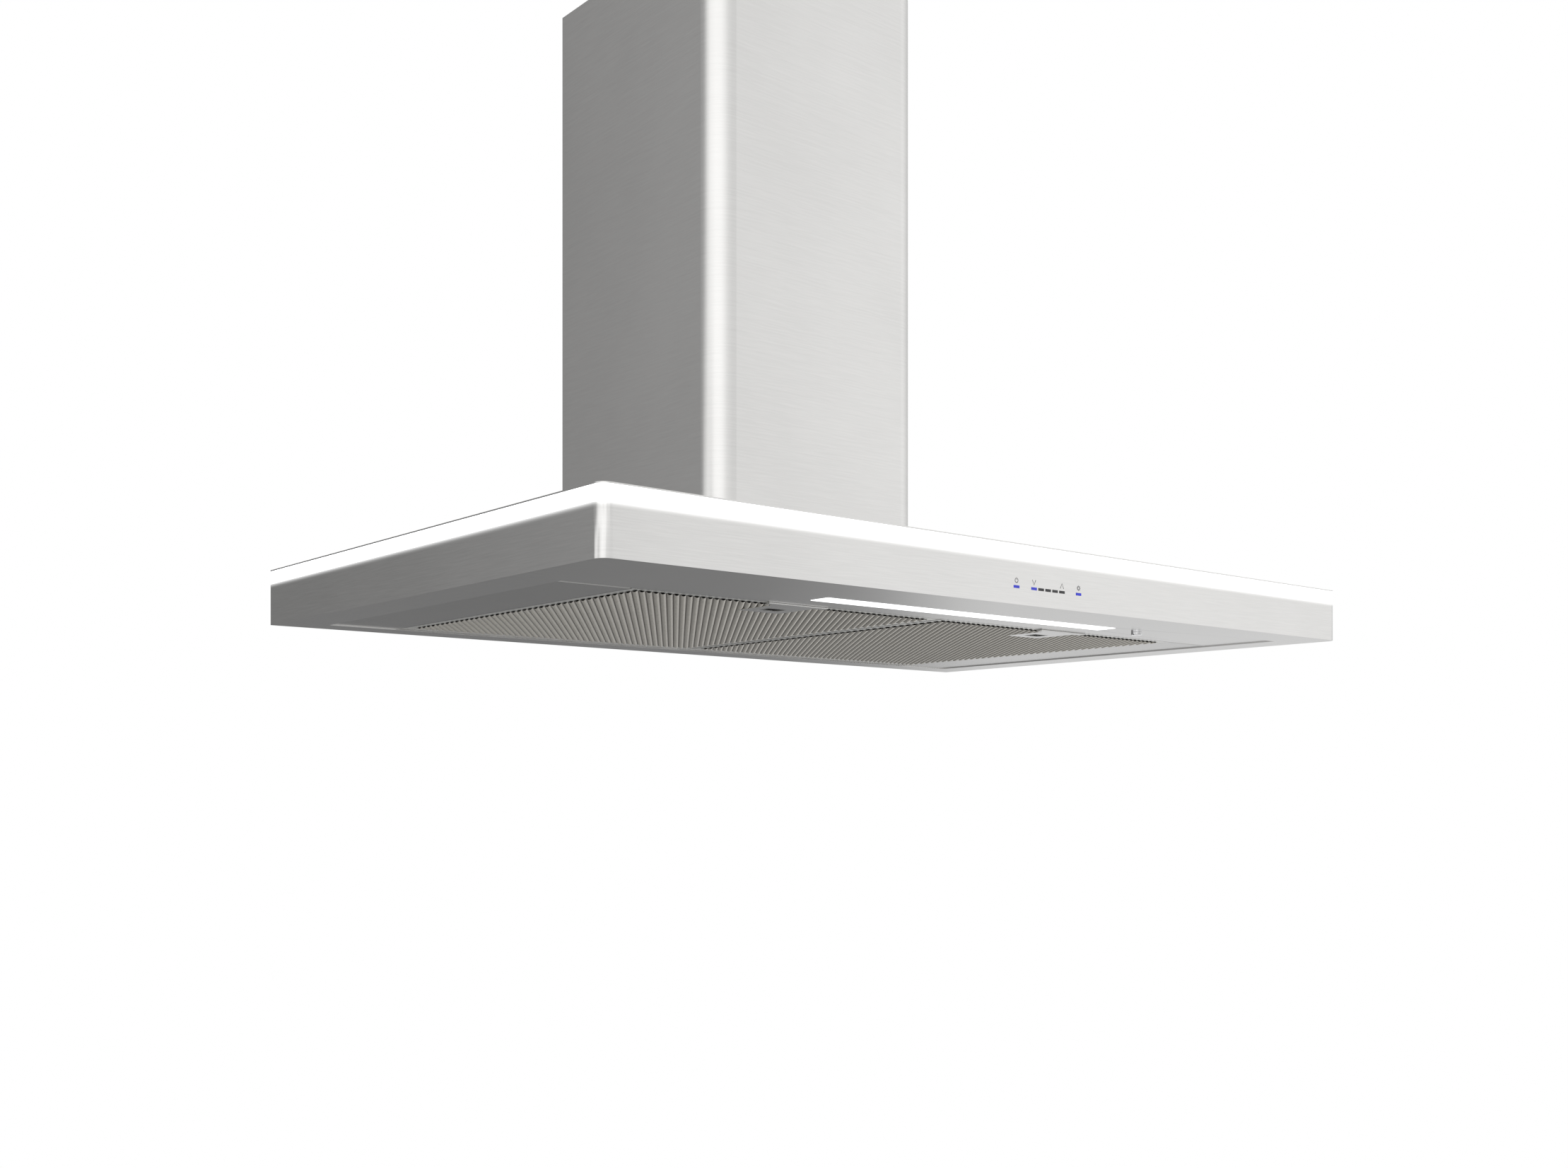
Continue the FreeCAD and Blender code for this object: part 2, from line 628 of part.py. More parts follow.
def scroll_profile(grow, top):
    """The scroll's outline in the YZ plane: three quarter arcs that widen by a step each, then the outlet."""
    half_step = SCROLL_STEP / 2
    r1, r2, r3 = (SCROLL_R + i * SCROLL_STEP + grow for i in range(3))
    c1 = V(0, FAN_Y + half_step, FAN_Z - half_step)
    c2 = c1 + V(0, -SCROLL_STEP, 0)
    c3 = c2 + V(0, 0, SCROLL_STEP)
    lean = math.radians(TONGUE_ANGLE)
    tongue = c1 + V(0, -SCROLL_R * math.sin(lean) + grow, 0)
    start_angle = math.asin((c1.y - tongue.y) / r1)
    start = c1 + V(0, -r1 * math.sin(start_angle), r1 * math.cos(start_angle))
    right = c1 + V(0, r1, 0)
    bottom = c2 + V(0, 0, -r2)
    left = c3 + V(0, -r3, 0)
    diagonal = math.sqrt(0.5)
    edges = [
        Part.Arc(start, c1 + V(0, r1 * diagonal, r1 * diagonal), right).toShape(),
        Part.Arc(right, c2 + V(0, r2 * diagonal, -r2 * diagonal), bottom).toShape(),
        Part.Arc(bottom, c3 + V(0, -r3 * diagonal, -r3 * diagonal), left).toShape(),
        Part.makeLine(left, V(0, left.y, top)),
        Part.makeLine(V(0, left.y, top), V(0, start.y, top)),
        Part.makeLine(V(0, start.y, top), start),
    ]
    return Part.Face(Part.Wire(edges))


def scroll_prism(grow, top, x):
    face = scroll_profile(grow, top)
    face.translate(V(x[0], 0, 0))
    return face.extrude(V(x[1] - x[0], 0, 0))


def scroll_wrap():
    """The scroll's curved wall, open at both sides and at the outlet."""
    x = (-SCROLL_HALF, SCROLL_HALF)
    outlet = CASE_TOP - SHEET
    return scroll_prism(SCROLL_WALL, outlet, x).cut(scroll_prism(0, outlet + 1, x))


def scroll_side(side):
    """Side plate with a rolled inlet ring; the motor side also has holes for the rubber mounts' screws."""
    outlet = CASE_TOP - SHEET
    plate = scroll_prism(SCROLL_WALL, outlet, (SCROLL_HALF, SCROLL_HALF + SCROLL_WALL))
    face = V(SCROLL_HALF, FAN_Y, FAN_Z)
    lip = ring(INLET_R + 3, INLET_R, face, X_AXIS, 6.0)
    plate = fuse([plate, lip]).cut(rod(INLET_R, face - X_AXIS * 10, X_AXIS, 40))
    if side > 0:
        for y, z in motor_mount_places():
            plate = plate.cut(rod(SCREW_HOLE_R, V(SCROLL_HALF - 5, y, z), X_AXIS, 20))
        return plate
    return plate.mirror(V(0, 0, 0), X_AXIS)


def motor_mount_places():
    places = []
    for angle in MOUNT_ANGLES:
        turn = math.radians(angle)
        places.append((FAN_Y + MOUNT_CIRCLE * math.cos(turn), FAN_Z + MOUNT_CIRCLE * math.sin(turn)))
    return places


def fan_point(radius, degrees, x):
    turn = math.radians(degrees)
    return V(x, FAN_Y + radius * math.cos(turn), FAN_Z + radius * math.sin(turn))


def impeller():
    """Double-inlet drum wheel: middle disc, hub, two end rings and forward-curved blades from end to end."""
    centre = V(0, FAN_Y, FAN_Z)
    disc = rod(WHEEL_R, centre - X_AXIS, X_AXIS, 2.0)
    hub = rod(12.0, centre - X_AXIS * 12, X_AXIS, 22.0)
    rings = []
    for x in (-WHEEL_HALF, WHEEL_HALF - WHEEL_RING):
        rings.append(ring(WHEEL_R, WHEEL_INNER_R, V(x, FAN_Y, FAN_Z), X_AXIS, WHEEL_RING))
    blades = []
    sweep = 9.0
    wall = math.degrees(BLADE_WALL / WHEEL_R)
    for i in range(BLADE_COUNT):
        at = i * 360.0 / BLADE_COUNT
        x = -WHEEL_HALF + 0.5
        inner = fan_point(WHEEL_INNER_R + 0.5, at, x)
        middle = fan_point((WHEEL_R + WHEEL_INNER_R) / 2, at - sweep * 0.2, x)
        outer = fan_point(WHEEL_R - 0.5, at - sweep, x)
        outer_2 = fan_point(WHEEL_R - 0.5, at - sweep + wall, x)
        middle_2 = fan_point((WHEEL_R + WHEEL_INNER_R) / 2, at - sweep * 0.2 + wall, x)
        inner_2 = fan_point(WHEEL_INNER_R + 0.5, at + wall, x)
        edges = [
            Part.Arc(inner, middle, outer).toShape(),
            Part.makeLine(outer, outer_2),
            Part.Arc(outer_2, middle_2, inner_2).toShape(),
            Part.makeLine(inner_2, inner),
        ]
        blades.append(Part.Face(Part.Wire(edges)).extrude(X_AXIS * (2 * WHEEL_HALF - 1)))
    wheel = disc.multiFuse([hub] + rings + blades)
    return wheel.cut(rod(SHAFT_R, centre - X_AXIS * 20, X_AXIS, 40))


def rotor_x():
    return (MOTOR_X[0] + 11.0, MOTOR_X[1] - 11.0)


def motor_rotor():
    """Motor shaft with the rotor's core pressed on it."""
    x = rotor_x()
    end = MOTOR_X[1] - MOTOR_WALL - 0.5
    shaft = rod(SHAFT_R, V(-SHAFT_REACH, FAN_Y, FAN_Z), X_AXIS, end + SHAFT_REACH)
    return fuse([shaft, rod(23.0, V(x[0], FAN_Y, FAN_Z), X_AXIS, x[1] - x[0])])


def motor_stator():
    x = rotor_x()
    return ring(MOTOR_R - MOTOR_WALL, 23.8, V(x[0], FAN_Y, FAN_Z), X_AXIS, x[1] - x[0])


def bearing_starts():
    return (MOTOR_X[0] + MOTOR_WALL, MOTOR_X[1] - MOTOR_WALL - BEARING_WIDTH)


def motor_can():
    """Motor housing with a bearing boss inside each end."""
    length = MOTOR_X[1] - MOTOR_X[0]
    start = V(MOTOR_X[0], FAN_Y, FAN_Z)
    can = rod(MOTOR_R, start, X_AXIS, length)
    can = can.cut(rod(MOTOR_R - MOTOR_WALL, start + X_AXIS * MOTOR_WALL, X_AXIS, length - 2 * MOTOR_WALL))
    bosses = [ring(BEARING_R + 3, BEARING_R, V(x, FAN_Y, FAN_Z), X_AXIS, BEARING_WIDTH) for x in bearing_starts()]
    can = fuse([can] + bosses)
    return can.cut(rod(SHAFT_R + 1.0, start - X_AXIS, X_AXIS, MOTOR_WALL + 2))


def motor_bearings():
    rings = []
    for x in bearing_starts():
        rings.append(ring(BEARING_R, SHAFT_R + 0.03, V(x, FAN_Y, FAN_Z), X_AXIS, BEARING_WIDTH))
    return Part.makeCompound(rings)


def motor_bracket():
    """Three-armed plate on the motor's outer end."""
    x = MOTOR_X[1]
    centre = V(x, FAN_Y, FAN_Z)
    pieces = [ring(50.0, 28.0, centre, X_AXIS, 2.0)]
    for angle in MOUNT_ANGLES:
        arm = Part.makeBox(2.0, MOUNT_CIRCLE + 8 - 40, 14.0, V(x, FAN_Y + 40, FAN_Z - 7))
        arm.rotate(centre, X_AXIS, angle)
        pieces.append(arm)
    plate = fuse(pieces)
    for y, z in motor_mount_places():
        plate = plate.cut(rod(SCREW_HOLE_R, V(x - 5, y, z), X_AXIS, 20))
    return plate


def rubber_mounts():
    start = SCROLL_HALF + SCROLL_WALL
    length = MOTOR_X[1] - start
    return Part.makeCompound([ring(MOUNT_R, SCREW_HOLE_R, V(start, y, z), X_AXIS, length)
                              for y, z in motor_mount_places()])


def motor_screws():
    tip = SCROLL_HALF - 2.0
    length = MOTOR_X[1] + 2.0 - tip
    return Part.makeCompound([screw(V(tip, y, z), X_AXIS, length) for y, z in motor_mount_places()])


def run_capacitor():
    radius = 16.0
    return rod(radius, V(-CASE_HALF + SHEET + radius + 0.2, -52.0, 190.0), Z_AXIS, 58.0)


def blower_case():
    """Steel casing over the blower, flanged onto the canopy's top, with the scroll's outlet in its roof."""
    x = (-CASE_HALF, CASE_HALF)
    outer = box(x, CASE_Y, (CANOPY_HEIGHT, CASE_TOP))
    flange_y = inset(CASE_Y, -CASE_FLANGE)
    flange_z = (CANOPY_HEIGHT, CANOPY_HEIGHT + SHEET)
    flange = front_rounded(CASE_HALF + CASE_FLANGE, *flange_y, CASE_CORNER_R, flange_z)
    case = fuse([outer, flange])
    case = case.cut(box(inset(x, SHEET), inset(CASE_Y, SHEET), (0, CASE_TOP - SHEET)))
    case = case.cut(scroll_prism(0, ALL, (-SCROLL_HALF, SCROLL_HALF)).common(
        box((-ALL, ALL), (-ALL, 0), (CASE_TOP - 2 * SHEET, CASE_TOP + 1))))
    for px, py in case_screw_places():
        case = case.cut(rod(SCREW_HOLE_R, V(px, py, 0), Z_AXIS, CANOPY_HEIGHT + 5))
    for px, pz in hanger_screw_places():
        case = case.cut(rod(SCREW_HOLE_R, V(px, CASE_Y[1] - 5, pz), Y_AXIS, 10))
    for px, py in transition_screw_places():
        case = case.cut(rod(SCREW_HOLE_R, V(px, py, CASE_TOP - 5), Z_AXIS, 10))
    return case


def casing_screws():
    """Identical screws: casing to canopy, hanger to casing, transition to casing and collar to transition."""
    floor = CANOPY_HEIGHT + SHEET - SCREW_LENGTH
    roof = CASE_TOP + DUCT_WALL - SCREW_LENGTH
    top = TRANSITION_TOP + DUCT_WALL - SCREW_LENGTH
    back = CASE_Y[1] + BRACKET_SHEET - SCREW_LENGTH
    screws = [screw(V(x, y, floor), Z_AXIS, SCREW_LENGTH) for x, y in case_screw_places()]
    screws += [screw(V(x, y, roof), Z_AXIS, SCREW_LENGTH) for x, y in transition_screw_places()]
    screws += [screw(V(x, y, top), Z_AXIS, SCREW_LENGTH) for x, y in collar_screw_places()]
    screws += [screw(V(x, back, z), Y_AXIS, SCREW_LENGTH) for x, z in hanger_screw_places()]
    return Part.makeCompound(screws)


# ---------------------------------------------------------------- outlet and damper


def outlet_transition():
    """Plastic box from the scroll's rectangular outlet to the round collar."""
    x, y = (-82.0, 82.0), (-230.0, -50.0)
    body = box(x, y, (CASE_TOP, TRANSITION_TOP))
    flange = box(inset(x, -10), (y[0] - 6, y[1] + 4), (CASE_TOP, CASE_TOP + DUCT_WALL))
    shape = fuse([body, flange])
    room_z = (CASE_TOP - 1, TRANSITION_TOP - DUCT_WALL)
    shape = shape.cut(box(inset(x, DUCT_WALL), inset(y, DUCT_WALL), room_z))
    shape = shape.cut(rod(DUCT_R - DUCT_WALL, V(0, DUCT_Y, TRANSITION_TOP - 10), Z_AXIS, 20))
    for px, py in transition_screw_places():
        shape = shape.cut(rod(SCREW_HOLE_R, V(px, py, CASE_TOP - 5), Z_AXIS, 10))
    for px, py in collar_screw_places():
        shape = shape.cut(rod(SCREW_HOLE_R, V(px, py, TRANSITION_TOP - 5), Z_AXIS, 10))
    return shape


def collar_screw_places():
    spread = (DUCT_R + COLLAR_FLANGE / 2) * math.sqrt(0.5)
    return [(x, DUCT_Y + y) for x in (-spread, spread) for y in (-spread, spread)]


def damper_collar():
    """Round spigot for the duct, with a seat and a crossbar for the flaps and holes for their pins."""
    bottom = V(0, DUCT_Y, TRANSITION_TOP)
    tube = ring(DUCT_R, DUCT_R - DUCT_WALL, bottom, Z_AXIS, COLLAR_TOP - TRANSITION_TOP)
    flange = ring(DUCT_R + COLLAR_FLANGE, DUCT_R - DUCT_WALL, bottom, Z_AXIS, DUCT_WALL)
    seat_top = DAMPER_Z + FLAP_Z[0] - 0.2
    seat = ring(DUCT_R - 0.5, DUCT_R - DUCT_WALL - 3, V(0, DUCT_Y, seat_top - 2), Z_AXIS, 2.0)
    bar_half, bar_reach = PIN_Y + 2.0, DUCT_R - 0.5
    bar = box((-bar_reach, bar_reach), (DUCT_Y - bar_half, DUCT_Y + bar_half), (seat_top - 2, seat_top))
    collar = fuse([tube, flange, seat, bar])
    for y in pin_places():
        collar = collar.cut(rod(PIN_R + 0.05, V(-ALL / 2, y, DAMPER_Z), X_AXIS, ALL))
    for px, py in collar_screw_places():
        collar = collar.cut(rod(SCREW_HOLE_R, V(px, py, TRANSITION_TOP - 5), Z_AXIS, 10))
    return collar


def pin_places():
    return (DUCT_Y - PIN_Y, DUCT_Y + PIN_Y)


def damper_pins():
    reach = DUCT_R - 0.6
    return Part.makeCompound([rod(PIN_R, V(-reach, y, DAMPER_Z), X_AXIS, 2 * reach) for y in pin_places()])


def damper_flap(side):
    """Flap, a little less than half round, hanging from two knuckles on its own pin; side -1 is the front one."""
    pin_y = DUCT_Y + side * PIN_Y
    low, high = DAMPER_Z + FLAP_Z[0], DAMPER_Z + FLAP_Z[1]
    plate = rod(FLAP_R, V(0, DUCT_Y, low), Z_AXIS, high - low)
    keep = sorted((pin_y + side * 0.6, pin_y + side * ALL / 2))
    plate = plate.common(box((-ALL, ALL), keep, (-ALL, ALL)))
    starts = [V(x - KNUCKLE_HALF, pin_y, DAMPER_Z) for x in (-KNUCKLE_X, KNUCKLE_X)]
    flap = fuse([plate] + [rod(KNUCKLE_R, start, X_AXIS, 2 * KNUCKLE_HALF) for start in starts])
    for start in starts:
        flap = flap.cut(rod(PIN_R + 0.06, start - X_AXIS, X_AXIS, 2 * KNUCKLE_HALF + 2))
    return flap


# ---------------------------------------------------------------- wall bracket, hanger, wiring


def wall_bracket():
    """Cleat screwed to the wall; its upturned lip carries the hood."""
    x = (-BRACKET_HALF, BRACKET_HALF)
    t = BRACKET_SHEET
    plate = box(x, (-t, 0), (BRACKET_BOTTOM, LIP_Z + t))
    shelf = box(x, (-7.0, 0), (LIP_Z, LIP_Z + t))
    lip = box(x, (-7.0, -7.0 + t), (LIP_Z, LIP_TOP))
    bracket = fuse([plate, shelf, lip])
    for hx in (-WALL_HOLE_X, WALL_HOLE_X):
        for hz in (HANG_HEIGHT - WALL_HOLE_Z, HANG_HEIGHT + WALL_HOLE_Z):
            bracket = bracket.cut(rod(WALL_HOLE_R, V(hx, -10, hz), Y_AXIS, 20))
    return bracket


def hanger():
    """Downturned hook on the blower casing's back that sits on the wall bracket's lip."""
    x = (-BRACKET_HALF + 10, BRACKET_HALF - 10)
    t = BRACKET_SHEET
    back = CASE_Y[1]
    plate = box(x, (back, back + t), (150.0, LIP_TOP + t))
    bridge = box(x, (back, -2.5), (LIP_TOP, LIP_TOP + t))
    hook = box(x, (-4.5, -2.5), (LIP_Z + t + 1.0, LIP_TOP + t))
    shape = fuse([plate, bridge, hook])
    for px, pz in hanger_screw_places():
        shape = shape.cut(rod(SCREW_HOLE_R, V(px, back - 5, pz), Y_AXIS, 10))
    return shape


def wiring_box():
    """Steel box on the casing's roof, open at the front, with the cable gland's hole on top."""
    x = (-WIRING_HALF, WIRING_HALF)
    z = (CASE_TOP, WIRING_TOP)
    shape = box(x, WIRING_Y, z)
    shape = shape.cut(box(inset(x, SHEET), (-ALL, WIRING_Y[1] - SHEET), inset(z, SHEET)))
    return shape.cut(rod(gland_radius(), V(gland_x(), gland_y(), WIRING_TOP - 5), Z_AXIS, 10))


def gland_radius():
    return 8.0


def gland_x():
    return WIRING_HALF - 18.0


def gland_y():
    return (WIRING_Y[0] + WIRING_Y[1]) / 2


def wiring_box_cover():
    return box((-WIRING_HALF, WIRING_HALF), (WIRING_Y[0] - SHEET, WIRING_Y[0]), (CASE_TOP, WIRING_TOP))


def cable_gland():
    """Bush through the wiring box's roof, with a hexagon on top, where the supply cable enters."""
    centre = V(gland_x(), gland_y(), WIRING_TOP - SHEET - 4)
    barrel = rod(gland_radius(), centre, Z_AXIS, SHEET + 6)
    corners = [V(gland_x() + 11.0 * math.cos(math.radians(60 * i)), gland_y() + 11.0 * math.sin(math.radians(60 * i)),
                 WIRING_TOP) for i in range(7)]
    hexagon = Part.Face(Part.makePolygon(corners)).extrude(V(0, 0, 8.0))
    cap = rod(8.5, V(gland_x(), gland_y(), WIRING_TOP + 8), Z_AXIS, 6.0)
    return fuse([barrel, hexagon, cap]).cut(rod(GLAND_BORE_R, centre - Z_AXIS, Z_AXIS, 40))


def control_module():
    """Power board against the wiring box's back wall, with a relay, a choke and a screw terminal."""
    back = WIRING_Y[1] - SHEET
    board = box((-50.0, 50.0), (back - 4.0, back - 2.4), (CASE_TOP + 4, WIRING_TOP - 6))
    relay = box((-45.0, -27.0), (back - 18.0, back - 4.0), (CASE_TOP + 10, CASE_TOP + 28))
    choke = box((-22.0, -4.0), (back - 16.0, back - 4.0), (CASE_TOP + 24, CASE_TOP + 44))
    terminal = box((8.0, 44.0), (back - 16.0, back - 4.0), (CASE_TOP + 8, CASE_TOP + 20))
    for i in range(3):
        terminal = terminal.cut(rod(2.5, V(14.0 + 12 * i, back - 10.0, CASE_TOP + 14), Z_AXIS, 10))
    return fuse([board, relay, choke, terminal])


def led_driver():
    """Potted driver hung under the canopy's top panel, over the right side panel."""
    case = box((352.0, 402.0), (-330.0, -170.0), (TOP_PLATE - 26, TOP_PLATE))
    upright = [e for e in case.Edges if abs(e.tangentAt(0).z) > 0.9]
    return case.makeFillet(4.0, upright)


def main():
    os.makedirs("parts", exist_ok=True)
    single = [
        canopy_shell, canopy_top_panel, canopy_rear_panel, light_band, light_band_carrier, light_band_leds,
        front_cross_rail, filter_rail_frame, light_panel, light_bar_lens, light_bar_housing, light_bar_board,
        light_panel_stud, stud_retaining_ring, filter_catches, control_board, control_board_holder,
        lower_duct_cover, upper_duct_cover, chimney_bracket, scroll_wrap, impeller, motor_rotor, motor_stator,
        motor_can, motor_bearings, motor_bracket, rubber_mounts, motor_screws, run_capacitor, blower_case,
        casing_screws, outlet_transition, damper_collar, damper_pins, wall_bracket, hanger, wiring_box,
        wiring_box_cover, cable_gland, control_module, led_driver,
    ]
    for make in single:
        save(make.__name__, make())
    save("indicator_windows_blue", indicator_windows(BLUE_X))
    save("indicator_windows_dark", indicator_windows(DARK_X))
    save("damper_flap_front", damper_flap(-1))
    save("damper_flap_rear", damper_flap(1))
    for side, word in ((-1, "left"), (1, "right")):
        save("side_panel_" + word, side_panel(side))
        save("scroll_side_" + word, scroll_side(side))
        save("filter_frame_" + word, filter_frame(side))
        save("filter_mesh_" + word, filter_mesh(side))
        save("latch_plate_" + word, latch_plate(side))
        save("latch_slider_" + word, latch_slider(side))
        save("latch_spring_" + word, latch_spring(side))


main()
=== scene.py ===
"""Looks of a wall-hung range hood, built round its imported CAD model.

Metres, in the model's own frame: X along the wall, +Y into the wall, +Z up, origin at the wall bracket.
"""

import json
import math

import bmesh
import bpy
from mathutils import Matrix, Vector


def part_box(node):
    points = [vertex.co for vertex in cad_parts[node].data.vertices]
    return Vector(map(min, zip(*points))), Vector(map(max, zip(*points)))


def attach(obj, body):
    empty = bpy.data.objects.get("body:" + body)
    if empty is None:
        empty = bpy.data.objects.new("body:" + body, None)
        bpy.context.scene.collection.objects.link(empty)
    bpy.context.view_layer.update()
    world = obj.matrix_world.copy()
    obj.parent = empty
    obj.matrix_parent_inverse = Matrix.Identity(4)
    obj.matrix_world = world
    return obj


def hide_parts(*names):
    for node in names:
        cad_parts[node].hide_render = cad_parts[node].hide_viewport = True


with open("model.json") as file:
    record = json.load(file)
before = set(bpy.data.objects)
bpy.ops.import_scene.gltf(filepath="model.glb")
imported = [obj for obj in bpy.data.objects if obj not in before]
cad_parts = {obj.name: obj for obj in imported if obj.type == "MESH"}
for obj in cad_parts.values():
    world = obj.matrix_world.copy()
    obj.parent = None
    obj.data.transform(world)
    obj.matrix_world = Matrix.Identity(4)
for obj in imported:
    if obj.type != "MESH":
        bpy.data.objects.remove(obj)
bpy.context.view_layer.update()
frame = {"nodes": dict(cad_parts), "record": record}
nodes = frame["nodes"]
MM = 0.001

canopy_low, canopy_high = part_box("canopy_shell")
BOTTOM = canopy_low.z  # the canopy's lower face
FRONT = canopy_low.y
SIDES = ("left", "right")


# ---------------------------------------------------------------- camera, light and floor

CAMERA_PLACE = Vector((-1.0467, -1.4604, -0.3086))
CAMERA_TURN = math.radians(-39.983)  # from looking along +Y, towards +X
CAMERA_LENS = 36.29
CAMERA_SHIFT_Y = 0.133

FLOOR_Z = BOTTOM - 1.65
FLOOR_R = 3.0

# The studio, as (bearing, radiance): bearings run clockwise in degrees from the wall's side, 180 is in front.
# A tall bright sheet stands front left, a paler one front right, and the wall's side is dim.
ROOM = (
    (-180, 1.08), (-160, 1.36), (-145, 1.52), (-120, 1.56), (-95, 1.48), (-80, 1.15), (-66, 0.66), (-54, 0.48),
    (-37, 0.45), (-27, 0.30), (-15, 0.27), (30, 0.27), (39, 0.30), (43, 0.42), (47, 0.88), (60, 0.93), (100, 1.08),
    (125, 1.22), (138, 1.14), (148, 0.98), (165, 1.00), (180, 1.08),
)
# Close to the horizon the front left sheet is split by a narrow dark gap and begins more sharply.
ROOM_LOW = (
    (-180, 1.05), (-166, 1.10), (-150, 1.42), (-130, 1.52), (-112, 1.36), (-98, 0.90), (-82, 1.25), (-70, 1.25),
    (-57, 1.00), (-52, 0.40), (-33, 0.385), (-26, 0.29), (-15, 0.27), (30, 0.27), (39, 0.30), (43, 0.42), (47, 0.88),
    (60, 0.93), (100, 1.08), (125, 1.22), (138, 1.14), (148, 0.98), (165, 1.00), (180, 1.05),
)
ROOM_PEAK = 1.6
OVERHEAD = 0.75
UNDERFOOT = 0.3
TOP_LAMP = 0.25  # radiance of the soft box overhead
TOP_LAMP_SIZE = 3.0

FLOOR_PAPER = (0.64, 0.64, 0.63)


def make_camera():
    data = bpy.data.cameras.new("camera")
    data.lens = CAMERA_LENS
    data.shift_y = CAMERA_SHIFT_Y
    camera = bpy.data.objects.new("camera", data)
    bpy.context.scene.collection.objects.link(camera)
    camera.location = CAMERA_PLACE
    camera.rotation_euler = (math.radians(90.0), 0, CAMERA_TURN)
    bpy.context.scene.camera = camera


def softbox(name, place, aim, size, radiance):
    """A square lamp at a place, facing another."""
    data = bpy.data.lights.new(name, "AREA")
    data.shape = "SQUARE"
    data.size = size
    data.energy = radiance * math.pi * size * size
    lamp = bpy.data.objects.new(name, data)
    bpy.context.scene.collection.objects.link(lamp)
    lamp.location = place
    lamp.rotation_euler = (Vector(place) - Vector(aim)).to_track_quat("Z", "Y").to_euler()
    lamp.visible_camera = False


def room_ring(tree, bearing, stops):
    """The radiance all round the horizon, from a ramp over the bearing."""
    ramp = tree.nodes.new("ShaderNodeValToRGB")
    tree.links.new(bearing, ramp.inputs["Fac"])
    elements = ramp.color_ramp.elements
    while len(elements) < len(stops):
        elements.new(0.5)
    for element, (degrees, radiance) in zip(elements, stops):
        element.position = degrees / 360 + 0.5
    for element, (degrees, radiance) in zip(elements, stops):
        share = radiance / ROOM_PEAK
        element.color = (share, share, share, 1)
    return ramp.outputs["Color"]


def room_maths(tree, operation, a, b):
    made = tree.nodes.new("ShaderNodeMath")
    made.operation = operation
    for socket, value in zip(made.inputs, (a, b)):
        if isinstance(value, bpy.types.NodeSocket):
            tree.links.new(value, socket)
        else:
            socket.default_value = value
    return made.outputs[0]


def room_fade(tree, height, start, end, first, last):
    """One radiance below the start height and another above the end height."""
    span = tree.nodes.new("ShaderNodeMapRange")
    tree.links.new(height, span.inputs["Value"])
    span.inputs["From Min"].default_value = start
    span.inputs["From Max"].default_value = end
    mix = tree.nodes.new("ShaderNodeMixRGB")
    tree.links.new(span.outputs["Result"], mix.inputs["Fac"])
    for socket, value in ((mix.inputs["Color1"], first), (mix.inputs["Color2"], last)):
        if isinstance(value, bpy.types.NodeSocket):
            tree.links.new(value, socket)
        else:
            socket.default_value = (value / ROOM_PEAK,) * 3 + (1,)
    return mix.outputs["Color"]


def make_light():
    """A ring of soft light that the camera sees as plain white, and a soft box overhead."""
    softbox("box_top", (0, -0.5, 2.8), (0, -0.3, 0), TOP_LAMP_SIZE, TOP_LAMP)
    world = bpy.data.worlds.new("studio")
    bpy.context.scene.world = world
    world.use_nodes = True
    tree = world.node_tree
    place = tree.nodes.new("ShaderNodeTexCoord")
    parts = tree.nodes.new("ShaderNodeSeparateXYZ")
    tree.links.new(place.outputs["Generated"], parts.inputs[0])
    x, y, z = parts.outputs
    turn = room_maths(tree, "ARCTAN2", x, y)
    bearing = room_maths(tree, "ADD", room_maths(tree, "DIVIDE", turn, math.tau), 0.5)
    walls = room_fade(tree, z, 0.13, 0.28, room_ring(tree, bearing, ROOM_LOW), room_ring(tree, bearing, ROOM))
    ceiling = room_fade(tree, z, 0.5, 0.85, walls, OVERHEAD)
    room_colour = room_fade(tree, z, -0.8, -0.45, UNDERFOOT, ceiling)
    room = tree.nodes["Background"]
    tree.links.new(room_colour, room.inputs["Color"])
    room.inputs["Strength"].default_value = ROOM_PEAK
    backdrop = tree.nodes.new("ShaderNodeBackground")
    backdrop.inputs["Color"].default_value = (1, 1, 1, 1)
    backdrop.inputs["Strength"].default_value = 1.0
    rays = tree.nodes.new("ShaderNodeLightPath")
    choice = tree.nodes.new("ShaderNodeMixShader")
    tree.links.new(rays.outputs["Is Camera Ray"], choice.inputs[0])
    tree.links.new(room.outputs[0], choice.inputs[1])
    tree.links.new(backdrop.outputs[0], choice.inputs[2])
    tree.links.new(choice.outputs[0], tree.nodes["World Output"].inputs["Surface"])


def make_floor():
    mesh = bpy.data.meshes.new("floor")
    edge = [Vector((FLOOR_R * math.cos(a), FLOOR_R * math.sin(a), FLOOR_Z))
            for a in (math.tau * i / 64 for i in range(64))]
    mesh.from_pydata(edge, [], [range(64)])
    floor = bpy.data.objects.new("floor", mesh)
    bpy.context.scene.collection.objects.link(floor)
    look = Look("floor_paper", base=FLOOR_PAPER, roughness=0.9)
    fibre = look.noise(look.stretched(60, 60, 60), detail=4)
    look.colour(look.blend(fibre, tinted(FLOOR_PAPER, 0.977), tinted(FLOOR_PAPER, 1.023)))
    floor.data.materials.append(look.material)


# ---------------------------------------------------------------- material building blocks


